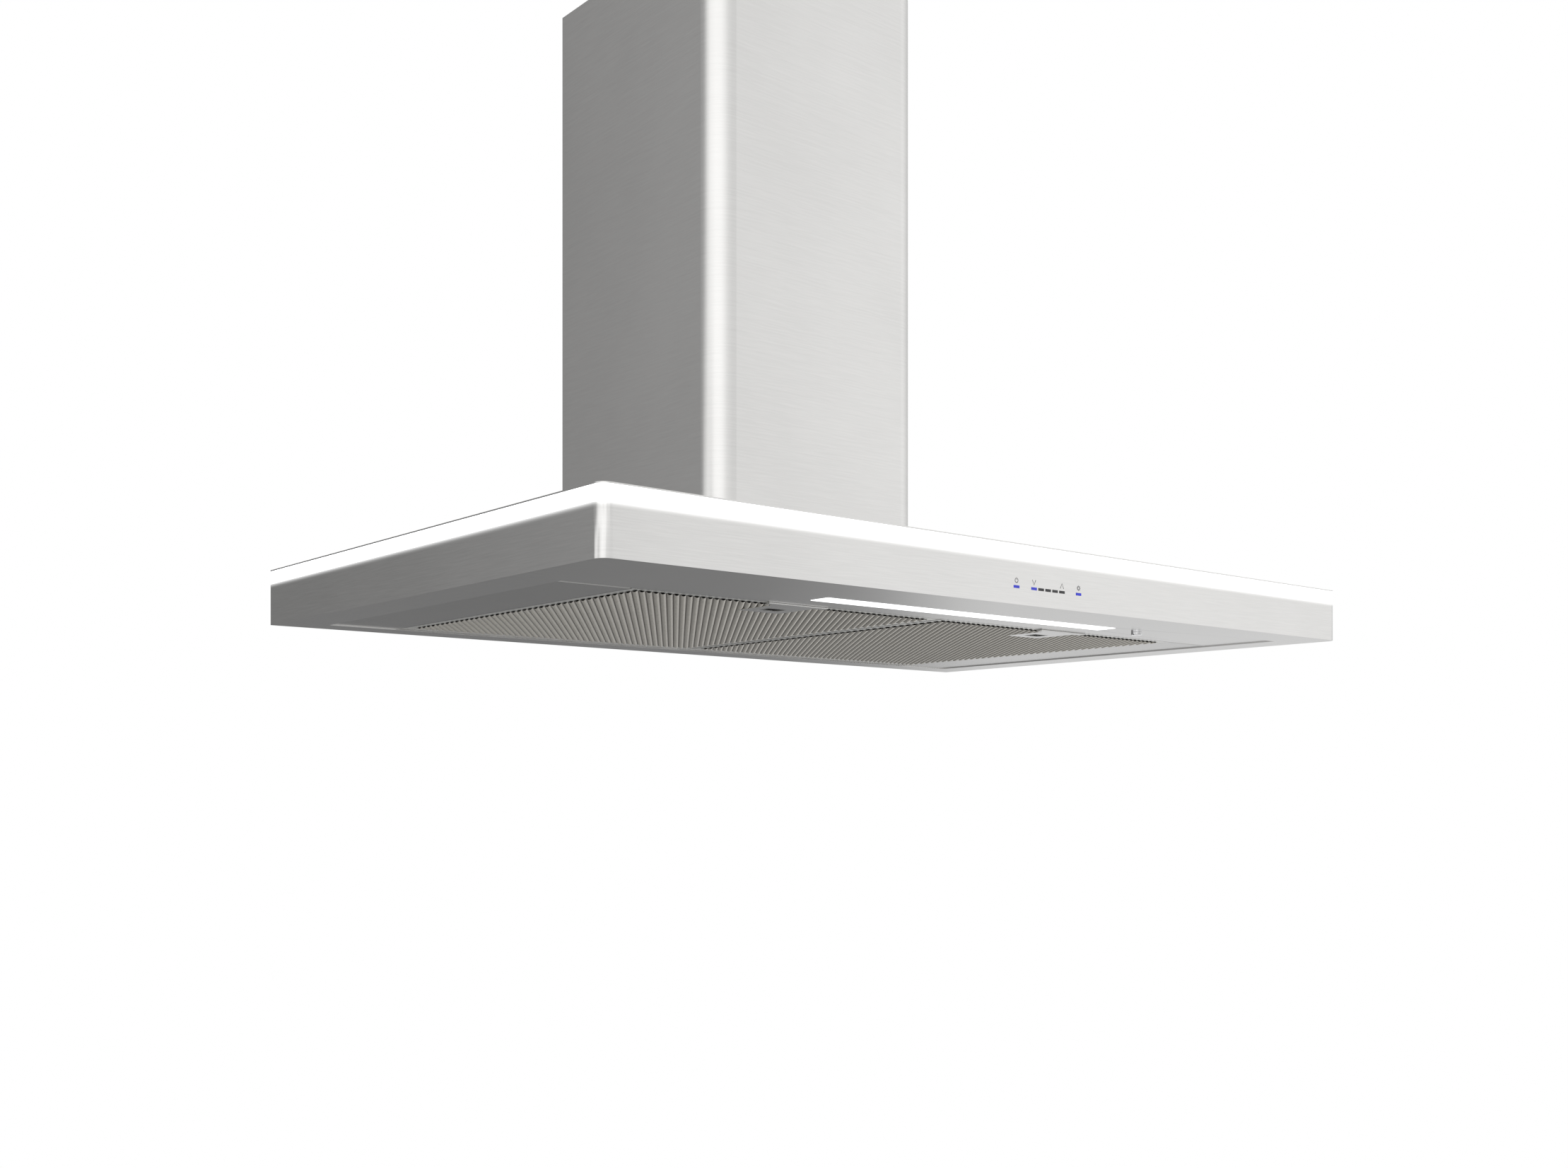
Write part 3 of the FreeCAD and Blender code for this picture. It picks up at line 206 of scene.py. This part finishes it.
class Look:
    """A material: a Principled shader and the procedural nodes that feed it, in the piece's own coordinates."""

    def __init__(self, name, base=(0.8, 0.8, 0.8), metallic=0.0, roughness=0.5):
        self.material = bpy.data.materials.new(name)
        self.material.use_nodes = True
        self.tree = self.material.node_tree
        self.shader = self.tree.nodes["Principled BSDF"]
        self.shader.inputs["Base Color"].default_value = (*base, 1)
        self.shader.inputs["Metallic"].default_value = metallic
        self.shader.inputs["Roughness"].default_value = roughness
        place = self.node("ShaderNodeTexCoord")
        self.point = place.outputs["Object"]
        self.normal = place.outputs["Normal"]

    def node(self, kind, **settings):
        made = self.tree.nodes.new(kind)
        for key, value in settings.items():
            setattr(made, key, value)
        return made

    def feed(self, socket, value):
        """Links an output to the socket, or sets a plain value on it."""
        if isinstance(value, bpy.types.NodeSocket):
            self.tree.links.new(value, socket)
        else:
            socket.default_value = value

    def maths(self, operation, a, b=0.0):
        made = self.node("ShaderNodeMath", operation=operation)
        self.feed(made.inputs[0], a)
        self.feed(made.inputs[1], b)
        return made.outputs[0]

    def stretched(self, x, y, z, turn=0.0):
        """The surface point, turned about Z, with each axis scaled: cells are 1/x, 1/y and 1/z metres long."""
        made = self.node("ShaderNodeMapping", vector_type="POINT")
        self.feed(made.inputs["Vector"], self.point)
        made.inputs["Scale"].default_value = (x, y, z)
        made.inputs["Rotation"].default_value = (0, 0, turn)
        return made.outputs["Vector"]

    def noise(self, vector, detail=2.0, harsh=0.5):
        made = self.node("ShaderNodeTexNoise")
        self.feed(made.inputs["Vector"], vector)
        made.inputs["Scale"].default_value = 1.0
        made.inputs["Detail"].default_value = detail
        made.inputs["Roughness"].default_value = harsh
        return made.outputs["Fac"]

    def cells(self, vector):
        """A random grey for each cell of a crystal pattern."""
        made = self.node("ShaderNodeTexVoronoi")
        self.feed(made.inputs["Vector"], vector)
        made.inputs["Scale"].default_value = 1.0
        return made.outputs["Color"]

    def span(self, value, low, high, first=0.3, last=0.7):
        """The value's range first to last becomes low to high, and stays inside it."""
        made = self.node("ShaderNodeMapRange")
        self.feed(made.inputs["Value"], value)
        made.inputs["From Min"].default_value = first
        made.inputs["From Max"].default_value = last
        made.inputs["To Min"].default_value = low
        made.inputs["To Max"].default_value = high
        return made.outputs["Result"]

    def blend(self, factor, first, second):
        """A colour between two."""
        made = self.node("ShaderNodeMixRGB")
        self.feed(made.inputs["Fac"], factor)
        for socket, value in ((made.inputs["Color1"], first), (made.inputs["Color2"], second)):
            self.feed(socket, value if isinstance(value, bpy.types.NodeSocket) else (*value, 1))
        return made.outputs["Color"]

    def levelness(self):
        """0 on walls and 1 on level faces."""
        parts = self.node("ShaderNodeSeparateXYZ")
        self.feed(parts.inputs[0], self.normal)
        return self.span(self.maths("ABSOLUTE", parts.outputs["Z"]), 0, 1, 0.6, 0.8)

    def colour(self, value):
        self.feed(self.shader.inputs["Base Color"], value)

    def rough(self, value):
        self.feed(self.shader.inputs["Roughness"], value)

    def bump(self, height, strength, depth):
        made = self.node("ShaderNodeBump")
        self.feed(made.inputs["Height"], height)
        made.inputs["Strength"].default_value = strength
        made.inputs["Distance"].default_value = depth
        self.feed(self.shader.inputs["Normal"], made.outputs["Normal"])


def tinted(colour, share):
    return tuple(min(1.0, c * share) for c in colour)


STEEL = (0.635, 0.630, 0.620)
STEEL_CONTRAST = 0.035  # how far the streaks and clouds leave the steel's own tone
LEVEL_SMOOTH = 0.65  # the roughness of level faces, as a share of the walls'
GLANCING = 0.75  # how much of the light steel sends on at a glancing angle
# Painted shade: a darker copy of the steel for the side panels beside the filters, sending on less light at a
# glancing angle.
SHADED_SIDE_GLANCING = 0.66
# Painted light on the canopy's walls under the band: how strongly they glow, and over what height.
PAINTED_BAND_GLOW = 0.9
PAINTED_GLOW_HEIGHT = 5.5 * MM


def brushed_steel(name, rough=(0.20, 0.26), glancing=GLANCING):
    """Stainless sheet brushed along the wall: fine streaks, faint clouding, highlights drawn out across the grain."""
    look = Look(name, STEEL, metallic=1.0)
    look.shader.inputs["Anisotropic"].default_value = 0.55
    look.shader.inputs["Specular Tint"].default_value = (glancing, glancing, glancing, 1)
    level = look.levelness()
    along, across = 28.0, 1100.0
    walls = look.noise(look.stretched(along, along, across), detail=3, harsh=0.6)
    decks = look.noise(look.stretched(along, across, along), detail=3, harsh=0.6)
    streaks = look.blend(level, walls, decks)
    clouds = look.noise(look.stretched(9, 9, 7), detail=2)
    tone = look.maths("ADD", look.maths("MULTIPLY", streaks, 0.65), look.maths("MULTIPLY", clouds, 0.35))
    duller, brighter = (tinted(STEEL, 1 + change) for change in (-STEEL_CONTRAST, STEEL_CONTRAST))
    look.colour(look.blend(look.span(tone, 0, 1, 0.36, 0.64), duller, brighter))
    share = look.span(level, 1, LEVEL_SMOOTH, 0, 1)
    look.rough(look.maths("MULTIPLY", look.span(streaks, *rough), share))
    look.bump(streaks, 0.10, 0.02 * MM)
    grain = look.node("ShaderNodeCombineXYZ")
    look.feed(grain.inputs["Y"], level)
    look.feed(grain.inputs["Z"], look.maths("SUBTRACT", 1.0, level))
    look.feed(look.shader.inputs["Tangent"], grain.outputs[0])
    return look


def canopy_steel_painted_glow(name):
    """Brushed steel with painted light: its walls glow just under the top edge, standing in for light spilled from
    the glowing band that stands there.
    """
    look = brushed_steel(name)
    height = look.node("ShaderNodeSeparateXYZ")
    look.feed(height.inputs[0], look.point)
    # Painted light: an emission on the walls that fades in over the last few millimetres under the band.
    painted_glow = look.span(height.outputs["Z"], 0, 1, canopy_high.z - PAINTED_GLOW_HEIGHT, canopy_high.z)
    wall = look.maths("SUBTRACT", 1.0, look.levelness())
    look.shader.inputs["Emission Color"].default_value = (1, 1, 1, 1)
    share = look.maths("MULTIPLY", look.maths("POWER", painted_glow, 3.0), wall)
    look.feed(look.shader.inputs["Emission Strength"], look.maths("MULTIPLY", share, PAINTED_BAND_GLOW))
    return look


def galvanised(name):
    """Zinc-coated sheet: crystals a few millimetres wide, some lighter and some duller."""
    base = (0.50, 0.52, 0.53)
    look = Look(name, base, metallic=1.0)
    crystals = look.cells(look.stretched(150, 150, 150))
    speck = look.noise(look.stretched(900, 900, 900), detail=2)
    tone = look.blend(0.25, crystals, speck)
    look.colour(look.blend(look.span(tone, 0, 1, 0.1, 0.9), tinted(base, 0.82), tinted(base, 1.14)))
    look.rough(look.span(tone, 0.34, 0.50, 0.1, 0.9))
    look.bump(speck, 0.15, 0.03 * MM)
    return look.material


def plain_metal(name, base, rough, cell=700.0):
    """Rolled or machined metal with a fine, even tooth, its cells 1/cell metres long."""
    look = Look(name, base, metallic=1.0)
    tooth = look.noise(look.stretched(cell, cell * 0.2, cell), detail=3)
    look.colour(look.blend(look.span(tooth, 0, 1), tinted(base, 0.94), tinted(base, 1.06)))
    look.rough(look.span(tooth, rough - 0.04, rough + 0.05))
    look.bump(tooth, 0.12, 0.02 * MM)
    return look.material


def moulded(name, base, rough, sheen=0.5):
    """Moulded plastic or rubber: a fine spark-eroded grain and slight unevenness of tone."""
    look = Look(name, base, roughness=rough)
    look.shader.inputs["Specular IOR Level"].default_value = sheen
    grain = look.noise(look.stretched(1400, 1400, 1400), detail=2)
    drift = look.noise(look.stretched(18, 18, 18), detail=2)
    look.colour(look.blend(look.span(drift, 0, 1), tinted(base, 0.93), tinted(base, 1.07)))
    look.rough(look.span(grain, rough - 0.06, rough + 0.06))
    look.bump(grain, 0.25, 0.03 * MM)
    return look.material


def glowing_acrylic(name, strength):
    """Frosted acrylic lit from behind, very slightly uneven where the LEDs sit."""
    look = Look(name, (0.95, 0.96, 0.97), roughness=0.35)
    frost = look.noise(look.stretched(500, 500, 500), detail=2)
    look.colour(look.blend(frost, (0.93, 0.94, 0.95), (0.97, 0.975, 0.98)))
    pools = look.noise(look.stretched(40, 40, 40), detail=1)
    look.feed(look.shader.inputs["Emission Color"], look.blend(pools, (0.93, 0.96, 1.0), (1.0, 1.0, 1.0)))
    look.shader.inputs["Emission Strength"].default_value = strength
    look.bump(frost, 0.08, 0.02 * MM)
    return look.material


def lit_window(name, base, glow, strength):
    """Smooth clear window over an LED, brightest in its middle rows."""
    look = Look(name, base, roughness=0.18)
    rows = look.noise(look.stretched(250, 250, 1200), detail=1)
    look.colour(look.blend(rows, tinted(base, 0.8), tinted(base, 1.2)))
    if strength > 0:
        look.feed(look.shader.inputs["Emission Color"], look.blend(look.span(rows, 0, 1), glow, tinted(glow, 1.5)))
        look.shader.inputs["Emission Strength"].default_value = strength
    return look.material


RIDGE_TURN = math.radians(54.0)  # the filters' ridges, from X, the same way in both
STRAND = 1.5 * MM  # from strand to strand of the filters' mesh
STRAND_LEAN = math.radians(27.0)


def filter_mesh_metal(name):
    """Layered expanded aluminium: strands cross in small diamonds, with painted shade darkening the grooves between
    the ridges and the ridges' steep flanks.
    """
    base = (0.60, 0.568, 0.502)
    look = Look(name, base, metallic=1.0)
    slants = []
    for turn in (STRAND_LEAN, -STRAND_LEAN):
        wave = look.node("ShaderNodeTexWave", bands_direction="Y")
        look.feed(wave.inputs["Vector"], look.stretched(1 / STRAND, 1 / STRAND, 1 / STRAND, turn))
        wave.inputs["Scale"].default_value = 0.31
        wave.inputs["Distortion"].default_value = 1.2
        wave.inputs["Detail"].default_value = 1.0
        slants.append(wave.outputs["Fac"])
    strands = look.maths("MAXIMUM", *slants)
    speck = look.noise(look.stretched(650, 650, 650), detail=3)
    patches = look.noise(look.stretched(14, 14, 14), detail=2)
    tone = look.blend(0.35, look.span(strands, 0, 1, 0.1, 0.9), speck)
    shade = look.blend(look.span(tone, 0, 1, 0.15, 0.85), tinted(base, 0.70), tinted(base, 1.12))
    shade = look.blend(look.span(patches, 0, 0.35), shade, tinted(base, 1.05))
    pack_low, pack_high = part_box("filter_mesh_left")
    height = look.node("ShaderNodeSeparateXYZ")
    look.feed(height.inputs[0], look.point)
    depth = look.maths("ABSOLUTE", look.maths("SUBTRACT", height.outputs["Z"], (pack_low.z + pack_high.z) / 2))
    crest = (pack_high.z - pack_low.z) / 2
    # Painted shade: the ridges' steep flanks are darkened by how far they lean across the ridge.
    flank = look.node("ShaderNodeVectorMath", operation="DOT_PRODUCT")
    look.feed(flank.inputs[0], look.normal)
    flank.inputs[1].default_value = (math.sin(RIDGE_TURN), -math.cos(RIDGE_TURN), 0)
    flank_painted_shade = look.span(look.maths("ABSOLUTE", flank.outputs["Value"]), 0, 0.75, 0.35, 0.8)
    shade = look.blend(flank_painted_shade, shade, tinted(base, 0.62))
    # Painted shade: the grooves between the ridges are darkened, more so away from the pack's outer faces.
    look.colour(look.blend(look.span(depth, 1, 0, crest - 1.8 * MM, crest - 0.2 * MM), shade, tinted(base, 0.30)))
    look.shader.inputs["Specular Tint"].default_value = (0.9, 0.9, 0.9, 1)
    look.rough(look.span(speck, 0.25, 0.38))
    look.bump(tone, 0.35, 0.12 * MM)
    return look.material


def circuit_board(name):
    """Green solder mask with faint copper runs under it."""
    base = (0.02, 0.16, 0.07)
    look = Look(name, base, roughness=0.28)
    runs = look.cells(look.stretched(420, 420, 420))
    weave = look.noise(look.stretched(1500, 1500, 1500), detail=1)
    look.colour(look.blend(look.span(runs, 0, 1, 0.35, 0.65), tinted(base, 0.8), (0.05, 0.28, 0.12)))
    look.rough(look.span(weave, 0.22, 0.34))
    look.bump(runs, 0.15, 0.05 * MM)
    return look.material


def make_materials():
    """One material for each of the record's slots."""
    return {
        "hood_steel": brushed_steel("hood_steel").material,
        "latch_steel": brushed_steel("latch_steel", rough=(0.21, 0.28)).material,
        "galvanised_steel": galvanised("galvanised_steel"),
        "light_band_acrylic": glowing_acrylic("light_band_acrylic", 1.6),
        "light_bar_acrylic": glowing_acrylic("light_bar_acrylic", 1.25),
        "aluminium": plain_metal("aluminium", (0.62, 0.63, 0.64), 0.34),
        "filter_aluminium": plain_metal("filter_aluminium", (0.60, 0.60, 0.58), 0.32),
        "filter_mesh": filter_mesh_metal("filter_mesh"),
        "chrome": plain_metal("chrome", (0.80, 0.80, 0.81), 0.10, cell=300.0),
        "spring_steel": plain_metal("spring_steel", (0.40, 0.40, 0.41), 0.30),
        "screw_steel": plain_metal("screw_steel", (0.55, 0.55, 0.53), 0.30),
        "motor_paint": moulded("motor_paint", (0.035, 0.035, 0.038), 0.42),
        "black_plastic": moulded("black_plastic", (0.025, 0.025, 0.028), 0.55),
        "white_plastic": moulded("white_plastic", (0.72, 0.72, 0.70), 0.45),
        "rubber": moulded("rubber", (0.018, 0.018, 0.018), 0.75, sheen=0.3),
        "circuit_board": circuit_board("circuit_board"),
        "blue_window": lit_window("blue_window", (0.01, 0.015, 0.25), (0.005, 0.015, 0.50), 0.45),
        "dark_window": lit_window("dark_window", (0.012, 0.012, 0.014), (0, 0, 0), 0.0),
    }


# ---------------------------------------------------------------- mesh helpers


def piece(name, mesh, body, slot, smooth_angle=30.0):
    """Turns a bmesh into a named object that rides on a body and takes a slot's material."""
    data = bpy.data.meshes.new(name)
    bmesh.ops.recalc_face_normals(mesh, faces=mesh.faces)
    mesh.to_mesh(data)
    mesh.free()
    thing = bpy.data.objects.new(name, data)
    bpy.context.scene.collection.objects.link(thing)
    data.materials.append(materials[slot])
    data.shade_smooth()
    data.set_sharp_from_angle(angle=math.radians(smooth_angle))
    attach(thing, body)
    return thing


# ---------------------------------------------------------------- filter packs

RIDGE_PITCH = 5.5 * MM
RIDGE_DEPTH = 1.9 * MM
RIDGE_STEPS = 26
SHEET_GAUGE = 0.35 * MM
HEM = 7.2 * MM  # from the pack's edge, in the frame's groove, to the frame's inner edge
LATCH_HALF = 23.0 * MM
LATCH_GAP = 0.6 * MM


def ridge_height(across):
    """The corrugation's height over its grooves, as a share: broad round ridges with narrower grooves between."""
    phase = (across / RIDGE_PITCH) % 1.0
    return math.sin(math.pi * phase) ** 0.8


def corrugated(low, high, crest_z, groove_z):
    """A corrugated sheet clipped to the rectangle low to high, as a bmesh."""
    along = Vector((math.cos(RIDGE_TURN), math.sin(RIDGE_TURN)))
    across = Vector((along.y, -along.x))
    corners = [Vector((x, y)) for x in (low[0], high[0]) for y in (low[1], high[1])]
    first, last = (pick(c.dot(across) for c in corners) for pick in (min, max))
    near, far = (pick(c.dot(along) for c in corners) for pick in (min, max))
    step = RIDGE_PITCH / RIDGE_STEPS
    mesh = bmesh.new()
    rows = []
    for i in range(math.floor(first / step), math.ceil(last / step) + 1):
        place = i * step
        z = groove_z + (crest_z - groove_z) * ridge_height(place)
        ends = [across * place + along * reach for reach in (near - step, far + step)]
        rows.append([mesh.verts.new((p.x, p.y, z)) for p in ends])
    for here, there in zip(rows, rows[1:]):
        mesh.faces.new((here[0], here[1], there[1], there[0]))
    for normal, edge in (((1, 0, 0), low[0]), ((0, 1, 0), low[1]), ((-1, 0, 0), high[0]), ((0, -1, 0), high[1])):
        everything = mesh.verts[:] + mesh.edges[:] + mesh.faces[:]
        spot = (edge if normal[0] else 0, edge if normal[1] else 0, 0)
        bmesh.ops.bisect_plane(mesh, geom=everything, plane_co=spot, plane_no=normal, clear_inner=True)
    return mesh


def filter_pack(side):
    """Two corrugated mesh sheets, ridges down and ridges up, cut off at the frame's inner edge, with a notch for the
    latch.
    """
    node = "filter_mesh_" + side
    low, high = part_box(node)
    x0, x1 = low.x + HEM, high.x - HEM
    y0, y1 = low.y + HEM, high.y - HEM
    centre = (low.x + high.x) / 2
    latch_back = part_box("latch_plate_" + side)[1].y + LATCH_GAP
    tiles = [((x0, y0), (centre - LATCH_HALF, latch_back)), ((centre + LATCH_HALF, y0), (x1, latch_back)),
             ((x0, latch_back), (x1, y1))]
    whole = bmesh.new()
    back_z = high.z - 0.3 * MM
    for crest, groove in ((low.z, low.z + RIDGE_DEPTH), (back_z, back_z - RIDGE_DEPTH)):
        for tile_low, tile_high in tiles:
            part = corrugated(tile_low, tile_high, crest, groove)
            data = bpy.data.meshes.new("tile")
            part.to_mesh(data)
            part.free()
            whole.from_mesh(data)
            bpy.data.meshes.remove(data)
    bmesh.ops.remove_doubles(whole, verts=whole.verts, dist=0.01 * MM)
    made = piece("filter_pack_" + side, whole, "filter_" + side, "filter_mesh", smooth_angle=60.0)
    thick = made.modifiers.new("gauge", "SOLIDIFY")
    thick.thickness = SHEET_GAUGE
    thick.offset = 0
    thick.use_rim = False  # the hem is out of sight in the frame's groove
    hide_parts(node)


# ---------------------------------------------------------------- touch symbols

SYMBOL_Z = BOTTOM + 20.3 * MM
SYMBOL_R = 2.2 * MM
STROKE = 0.55 * MM
INK = 0.05 * MM  # how far the symbols stand off the steel
WINDOW_HALF = 3.5 * MM
WINDOW_PITCH = 9.1 * MM


def stroke(mesh, points, closed=False):
    """A flat line of the symbol's stroke width through points (x, z) on the front face."""
    count = len(points)
    pairs = []
    for i, point in enumerate(points):
        before = points[(i - 1) % count] if closed or i else point
        after = points[(i + 1) % count] if closed or i < count - 1 else point
        along = Vector((after[0] - before[0], after[1] - before[1])).normalized()
        side = Vector((-along.y, along.x)) * STROKE / 2
        pairs.append([Vector(point) + side, Vector(point) - side])
    loops = []
    for y in (FRONT, FRONT - INK):
        loops.append([[mesh.verts.new((p.x, y, p.y)) for p in pair] for pair in pairs])
    last = count if closed else count - 1
    for i in range(last):
        j = (i + 1) % count
        for k in (0, 1):
            mesh.faces.new((loops[k][i][0], loops[k][i][1], loops[k][j][1], loops[k][j][0]))
            mesh.faces.new((loops[0][i][k], loops[0][j][k], loops[1][j][k], loops[1][i][k]))
    if not closed:
        for i in (0, count - 1):
            mesh.faces.new((loops[0][i][0], loops[0][i][1], loops[1][i][1], loops[1][i][0]))


def arc(x, radius, start, end, steps=32):
    """Points on a circle round (x, SYMBOL_Z), angles in degrees from straight right."""
    turns = [math.radians(start + (end - start) * i / steps) for i in range(steps + 1)]
    return [(x + radius * math.cos(t), SYMBOL_Z + radius * math.sin(t)) for t in turns]


def power_symbol(mesh, x):
    stroke(mesh, arc(x, SYMBOL_R * 0.85, 120, 420))
    stroke(mesh, [(x, SYMBOL_Z + SYMBOL_R * 1.15), (x, SYMBOL_Z + SYMBOL_R * 0.2)])


def chevron(mesh, x, up):
    reach = SYMBOL_R * up
    stroke(mesh, [(x - SYMBOL_R, SYMBOL_Z - reach), (x, SYMBOL_Z + reach), (x + SYMBOL_R, SYMBOL_Z - reach)])


def lamp_symbol(mesh, x):
    stroke(mesh, arc(x, SYMBOL_R * 0.62, 0, 360)[:-1], closed=True)
    for i in range(8):
        turn = math.tau * i / 8
        reach = (SYMBOL_R * 0.8, SYMBOL_R * 1.1)
        stroke(mesh, [(x + r * math.cos(turn), SYMBOL_Z + r * math.sin(turn)) for r in reach])


def touch_symbols():
    blue_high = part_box("indicator_windows_blue")[1]
    dark_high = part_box("indicator_windows_dark")[1]
    end_x = blue_high.x - WINDOW_HALF
    fan_high = dark_high.x - WINDOW_HALF
    fan_low = fan_high - 4 * WINDOW_PITCH
    drawings = {"symbol_power": (power_symbol, (-end_x,)), "symbol_slower": (chevron, (fan_low, -1)),
                "symbol_faster": (chevron, (fan_high, 1)), "symbol_lamp": (lamp_symbol, (end_x,))}
    for name, (draw, values) in drawings.items():
        mesh = bmesh.new()
        draw(mesh, *values)
        piece(name, mesh, "hood", "dark_window")


# ---------------------------------------------------------------- folded edges

# How far each folded CAD node's sharp edges are rounded, in millimetres.
EASED = {"canopy_shell": 0.5, "light_panel": 0.3, "side_panel_left": 0.3, "side_panel_right": 0.3,
         "latch_plate_left": 0.25, "latch_plate_right": 0.25}


def ease(name, radius):
    """Rounds a CAD node's sharp edges by a radius in millimetres."""
    thing = nodes[name]
    join = thing.modifiers.new("joined", "WELD")
    join.merge_threshold = 0.002 * MM
    soft = thing.modifiers.new("eased", "BEVEL")
    soft.width = radius * MM
    soft.segments = 2
    soft.limit_method = "ANGLE"
    soft.angle_limit = math.radians(40.0)
    soft.harden_normals = True


# ---------------------------------------------------------------- put together

materials = make_materials()
slots = {part["node"]: part["material_slot"] for part in frame["record"]["subparts"]}
own_looks = {"canopy_shell": canopy_steel_painted_glow("canopy_steel_painted_glow")}
# The side panels take the darker copy of the steel: painted shade for their place in the recess.
for side_name in SIDES:
    own_looks["side_panel_" + side_name] = brushed_steel("side_panel_shaded_steel_" + side_name, glancing=SHADED_SIDE_GLANCING)
for name, node in nodes.items():
    node.data.materials.clear()
    node.data.materials.append(own_looks[name].material if name in own_looks else materials[slots[name]])

bpy.context.scene.view_settings.view_transform = "Standard"
make_camera()
make_light()
make_floor()
for side_name in SIDES:
    filter_pack(side_name)
touch_symbols()
for name, radius in EASED.items():
    ease(name, radius)
